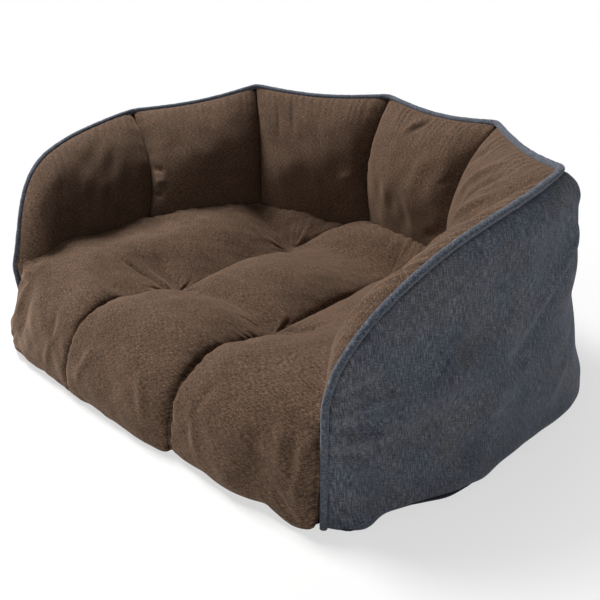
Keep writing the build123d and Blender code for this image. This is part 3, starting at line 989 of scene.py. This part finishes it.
def pad_crown_at(panel, share, v, length):
    """How far a channel stands off the straight line from foot to head.

    It is the product of two flat-topped arches, across the channel and up it. A slow unevenness, puckers that
    run out from its head and its seams, and its own folds are added.
    """
    if panel.wing:
        across = rounded(share / wing_front_arch) * rounded((1 - share) / wing_rear_arch, 2.6)
        least = wing_seam_crown * ease(share / 0.12)
    else:
        across = rounded(1 - np.abs(2 * share - 1), 2.8, 0.48)
        least = back_seam_crown
    up = rounded(1 - np.abs(2 * v - 1), 2.2, 0.7) * (1 - 0.36 * ease(1 - v / 0.5))
    crown = (least + (pad_crown - least) * across) * up * np.minimum(1.0, length / full_crown_length)
    along = share * panel.length
    rise = v * length
    below = (1 - v) * length
    edge = np.minimum(share, 1 - share) * panel.length
    seed = 40 + 7 * panels.index(panel)
    rolling = 2.2 * unevenness(seed, 150, along, rise) + 0.9 * unevenness(seed + 1, 60, along, rise)
    crown = crown + rolling * across * up
    crown = crown + gathers(seed + 2, 17, along, below - 4, 18, 1.8) * across * ease(below / 5)
    crown = crown + gathers(seed + 4, 27, rise, edge, 15, 1.5) * up * ease(edge / 5)
    size = np.array([panel.length, length.mean()])
    own = [(start * size, end * size, breadth, lift) for start, end, breadth, lift in pad_folds[panel.name]]
    return crown + folds(along, v * size[1], own)


def pad_face(panel, share, v):
    """Points of a channel's face, from its foot behind the seat to its head under the piping, and its length.

    The face is the straight line from foot to head, pushed out square to itself by the crown.
    """
    foot_in = panel.thickness(share)
    foot_z = panel.junction(share) - pad_foot_drop
    width = panel.lean(share) + pad_head_in - foot_in
    height = panel.rim(share) - pad_head_drop - foot_z
    length = np.hypot(width, height)
    crown = pad_crown_at(panel, share, v, length)
    inwards = foot_in + width * v + height / length * crown
    heights = foot_z + height * v - width / length * crown
    along = share * panel.length
    edge = np.minimum(share, 1 - share) * panel.length
    pinch = np.exp(-edge / 7) * ease((v - 0.8) / 0.2) * ease(along / 40)
    face = panel.place(share, inwards - pinch_back * pinch, heights - pinch_down * pinch)
    # The pads on both sides of a seam push it along the wall
    for seam, bow, away in zip((panel.start, panel.end), panel.bows, (along, panel.length - along)):
        push = bow * np.sin(math.pi * np.clip(v, 0, 1)) ** 1.5 * bell(away, 32)
        face[..., :2] += push[..., None] * (panel.side * seam.inward[1], -seam.inward[0])
    return face, length


def pad(panel):
    """One padded channel: its face, closed behind and below by a back just inside the outer cover."""
    count = int(panel.length / pad_step)
    across = 0.001 + 0.998 * crowded(count, 0.7)
    share, v = np.meshgrid(across, crowded(pad_rows, 0.5), indexing="ij")
    front, length = pad_face(panel, share, v)
    across, down = np.meshgrid(across, np.linspace(0.985, 0.0, 14), indexing="ij")
    back_in, back_z = outer_shape(panel, across, down)
    back = panel.place(across, np.minimum(back_in + pad_back_in, panel.thickness(across) - 1.0), back_z + 1.5)
    points = np.concatenate([front, back], axis=1)
    chart = chart_of(np.concatenate([points, points[:, :1]], axis=1))
    # Every column of the cloth map is the middle one's, scaled to its own length
    middle = chart[count // 2, :, 1]
    chart[..., 0] = share[:, :1] * panel.length + cloth_apart * panels.index(panel)
    chart[..., 1] = middle * (length.mean(axis=1) / length[count // 2].mean())[:, None]
    piece = grid_piece(f"{panel.name}_pad", points, chart, ring_b=True, caps=True)
    nodes = [f"{panel.name}_{part}" for part in ("pad_cover", "pad_fill", "wadding")]
    dress(piece, brown, "nest_chenille", *nodes)


outer_rows = 104
outer_step = 3.6
# The groove beside the piping: its distance from the piping's middle, and how deep it is
rim_groove_place = 4.4
rim_groove_depth = 4.4
# Folds of each wing's outside: start and end by distance from the front corner and height
wing_folds = [
    ((-6, 116), (78, 130), 3.8, 4.0), ((-6, 104), (68, 108), 3.4, -4.7), ((-4, 93), (58, 92), 3.8, 3.7),
    ((-4, 132), (72, 154), 4.2, -3.1), ((-4, 80), (52, 77), 4.2, -2.9), ((-4, 66), (42, 60), 4.5, 2.2),
    ((16, 122), (48, 111), 3.0, -2.9), ((20, 100), (56, 95), 2.8, -2.9),
    ((205, 140), (330, 262), 9, 6.4), ((180, 100), (290, 190), 12, -5.0), ((235, 150), (352, 275), 7.5, -4.5),
    ((20, 100), (180, 150), 15, 4.6), ((30, 70), (190, 112), 13, -4.0), ((120, 60), (250, 120), 16, 3.6),
    ((80, 30), (190, 60), 13.0, -3.0), ((110, 150), (230, 195), 12.0, -3.2),
    ((250, 40), (330, 120), 11.0, 3.4), ((300, 60), (370, 170), 11.0, -3.4),
    ((258, 262), (282, 232), 4, -2.5), ((272, 270), (296, 236), 4, 2.4), ((288, 272), (306, 236), 4, -2.2),
]


def outer_face(panel, share, v):
    """Row-frame points of the wall's outside, up the wall at each share."""
    share, v = np.meshgrid(share, v, indexing="ij")
    return panel.place(share, *outer_shape(panel, share, v))


def outer_relief(run, height, level, gap, along):
    """How far the outer cloth stands out: slow unevenness, a groove and puckers by the piping, and folds."""
    from_left = 2 * half_length - run
    out = 2.0 * unevenness(61, 150, run, height) + 0.5 * unevenness(62, 55, run, height)
    out = out * ease(level / 0.15) * ease((gap - 6) / 30)
    # The cloth dips into the seam beside the piping and puckers there
    out = out - rim_groove_depth * bell(gap - rim_groove_place, 1.6) - 0.8 * bell(gap - 5, 5)
    near_corner = bell(run - 2, 60) + bell(from_left - 2, 60)
    out = out + gathers(63, 16, along, gap, 12, 0.5 + 0.8 * near_corner)
    return out + folds(run, height, wing_folds) + folds(from_left, height, wing_folds)


def outer_cover():
    """The blue-grey skin: a grid round the wall's outside, moved out by its relief, over a wavy hem."""
    numbers, shares = round_the_wall(outer_step)
    v = crowded(outer_rows, 0.66)
    points = by_panel(numbers, shares, lambda panel, share: outer_face(panel, share, v))
    run = by_panel(numbers, shares, Panel.run_round)[:, None] * np.ones(outer_rows)
    level = np.ones_like(run) * v
    height = points[..., 2]
    out = outer_relief(run, height, level, *from_rim(points))
    # The hem rises and falls in gentle waves, and turns in and out with them
    hem = np.exp(-level / 0.10)
    wave = unevenness(65, 130, run) + 0.5 * unevenness(66, 60, run)
    height = height + hem * (0.3 + 0.9 * wave)
    out = out + hem * 1.6 * unevenness(67, 90, run)
    points[..., 2] = height
    points = points + by_panel(numbers, shares, Panel.outward)[:, None] * out[..., None]
    # The front corners spread a little at their foot, and the two front edges are sewn in under the piping
    near_end = np.exp(-run / 30) + np.exp(-(2 * half_length - run) / 30)
    points[..., 1] -= 1.5 * flare(height) * near_end
    for end in (0, -1):
        points[end, :, :2] = front_edge(panels[end], height[end])
    chart = np.stack([run, 1.04 * height], -1)
    piece = grid_piece("outer_cloth", points, chart)
    thicken(piece)
    dress(piece, blue, "outer_chenille", "outer_cover")


def piping():
    """The piping: a round tube along the rim line, its radius slightly uneven as sewn bias cloth is.

    Each ring lies square to the line, and its first direction points away from the sofa's middle.
    """
    tangent = unit(np.gradient(rim, axis=0))
    away = rim * (1, 1, 0) - (0, 20, 0)
    away = unit(away - (away * tangent).sum(1, keepdims=True) * tangent)
    side = np.cross(tangent, away)
    turns = np.linspace(0, 2 * math.pi, piping_sides + 1)
    turn, at = np.meshgrid(turns[:-1], rim_run, indexing="ij")
    radius = piping_radius + 0.12 * unevenness(71, 16, at, 3 * turn) + 0.1 * unevenness(72, 45, at)
    ring = np.cos(turn)[..., None] * away + np.sin(turn)[..., None] * side
    points = (rim + ring * radius[..., None]).transpose(1, 0, 2)
    chart = np.stack(np.meshgrid(rim_run, turns * piping_radius, indexing="ij"), -1)
    piece = grid_piece("rim_piping", points, chart, ring_b=True, caps=True)
    dress(piece, bias, "piping_cloth", "piping_cover", "piping_cord")


base_middle = (0.0, 20.0)
base_inset = 1.5
front_overhang = 18
corner_tuck = 6


def base_cloth():
    """The non-slip cloth under the sofa: a flat sheet whose margin turns up inside the outer cover's hem.

    Its edge is the base outline, moved out by nine tenths of the hem's bulge, and closed by a rounded front.
    Its rings are shares of the way from the middle to the edge.
    """
    run = np.linspace(0, half_length, 220)
    right = base_outline(run)
    step = np.gradient(right, axis=0)
    away = unit(np.stack([step[:, 1], -step[:, 0]], -1))
    right = right + away * (0.9 * curve(hem_places, hem_bulges, run) - 1.0)[:, None]
    front_x = np.linspace(-1, 1, 60)[1:-1] * front_half_width
    front_y = front_line - front_overhang + corner_tuck * np.abs(front_x / front_half_width) ** 6
    edge = np.concatenate([right, right[::-1] * (-1, 1), np.stack([front_x, front_y], -1)])
    out = edge - base_middle
    out = out - base_inset * unit(out)
    share = np.concatenate([np.linspace(0.03, 0.9, 8), np.linspace(0.93, 1, 9)])
    plan = base_middle + out[:, None] * share[:, None]
    hem = curve(hem_places, hem_heights, run)
    turned = np.concatenate([hem, hem[::-1], 0.0 * front_x])
    height = cloth_thickness + turned[:, None] * ease((share - 0.96) / 0.04)
    points = np.concatenate([plan, height[..., None]], -1)
    chart = np.concatenate([points, points[:1]])[..., :2]
    piece = grid_piece("base_cloth", points, chart, ring_a=True)
    thicken(piece)
    dress(piece, black, "base_cloth", "base_panel")


seat()
for each in panels:
    pad(each)
outer_cover()
piping()
base_cloth()
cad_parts["tuft_ties"].data.materials.clear()
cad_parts["tuft_ties"].data.materials.append(thread)


# Floor, light and camera, in metres

floor_radius = 14.0
floor_sides = 96
floor_drop = 0.0002


def seen_by(tree, *kinds):
    """One for rays of the named kinds and nothing for others: the largest of the light path's answers."""
    rays = put(tree, "ShaderNodeLightPath")
    seen = rays.outputs[kinds[0]]
    for kind in kinds[1:]:
        larger = put(tree, "ShaderNodeMath", {0: seen, 1: rays.outputs[kind]}, operation="MAXIMUM")
        seen = larger.outputs["Value"]
    return seen


def floor_finish():
    """Matt white paper floor. Far from the sofa the camera sees it fade to the background's plain white."""
    material, tree, shader = new_material("white_paper_floor")
    shader.inputs["Base Color"].default_value = linear("#f4f4f3")
    shader.inputs["Roughness"].default_value = 0.9
    place = put(tree, "ShaderNodeTexCoord").outputs["Object"]
    distance = put(tree, "ShaderNodeVectorMath", {0: place}, operation="LENGTH").outputs["Value"]
    fade = {"From Min": 0.32, "From Max": 0.82, "To Min": 0.62}
    far = put(tree, "ShaderNodeMapRange", {"Value": distance}, fade, interpolation_type="SMOOTHSTEP")
    seen = {0: far.outputs["Result"], 1: seen_by(tree, "Is Camera Ray", "Is Glossy Ray")}
    share = put(tree, "ShaderNodeMath", seen, operation="MULTIPLY").outputs["Value"]
    glow = put(tree, "ShaderNodeEmission", (), {"Color": (1, 1, 1, 1), "Strength": 1.0})
    blend = {0: share, 1: shader.outputs["BSDF"], 2: glow.outputs["Emission"]}
    mixed = put(tree, "ShaderNodeMixShader", blend)
    tree.links.new(mixed.outputs["Shader"], tree.nodes["Material Output"].inputs["Surface"])
    return material


def floor():
    """A large flat disc, so that its edge is far beyond the picture."""
    turns = np.linspace(0, 2 * math.pi, floor_sides, endpoint=False)
    points = np.stack([np.cos(turns), np.sin(turns), 0 * turns], -1) * floor_radius - (0, 0, floor_drop)
    mesh = bpy.data.meshes.new("floor")
    mesh.from_pydata(points.tolist(), [], [list(range(floor_sides))])
    piece = bpy.data.objects.new("floor", mesh)
    bpy.context.scene.collection.objects.link(piece)
    mesh.materials.append(floor_finish())


def aimed(name, data, place, target, roll=0.0):
    """A lamp or camera at a place that faces a target, level but for its roll in degrees."""
    place = np.array(place, float)
    roll = math.radians(roll)
    back = unit(place - target)
    level = unit(np.cross((0, 0, 1), back))
    right = math.cos(roll) * level + math.sin(roll) * np.cross(back, level)
    matrix = np.eye(4)
    matrix[:3] = np.stack([right, np.cross(back, right), back, place], -1)
    piece = bpy.data.objects.new(name, data)
    piece.matrix_world = Matrix(matrix.tolist())
    bpy.context.scene.collection.objects.link(piece)
    return piece


def softbox(name, place, target, size, power):
    """A square area lamp that faces a target, its power in watts."""
    lamp = bpy.data.lights.new(name, "AREA")
    lamp.shape = "SQUARE"
    lamp.size = size
    lamp.energy = power
    aimed(name, lamp, place, target)


def daylight():
    """White surroundings: even soft light on the sofa, and plain white behind it for the camera."""
    world = bpy.data.worlds.new("white_studio")
    bpy.context.scene.world = world
    world.use_nodes = True
    tree = world.node_tree
    tree.nodes.clear()
    seen = seen_by(tree, "Is Camera Ray", "Is Glossy Ray", "Is Transmission Ray")
    levels = {"To Min": 0.075, "To Max": 1.0}
    strength = put(tree, "ShaderNodeMapRange", {"Value": seen}, levels).outputs["Result"]
    background = put(tree, "ShaderNodeBackground", {"Strength": strength}, {"Color": (1, 1, 1, 1)})
    put(tree, "ShaderNodeOutputWorld", {"Surface": background.outputs["Background"]})


def camera():
    """The photograph's view: 42 degrees round from the front, 24 degrees down, with a 36 mm lens."""
    lens = bpy.data.cameras.new("camera")
    lens.lens = 36.0
    lens.sensor_width = 36.0
    lens.clip_start = 0.02
    place, target = (0.5456, -0.5659, 0.4117), (0.0317, 0.0015, 0.0697)
    bpy.context.scene.camera = aimed("camera", lens, place, target, roll=-0.45)


floor()
softbox("key", (-1.1, -0.25, 2.2), (0, 0, 0.1), size=0.8, power=79)
softbox("front", (0.2, -1.8, 0.25), (0, -0.2, 0.1), size=0.9, power=5.5)
softbox("side", (2.1, 0.55, 0.16), (0, 0, 0.13), size=0.6, power=10.5)
daylight()
camera()
bpy.context.scene.view_settings.view_transform = "Standard"
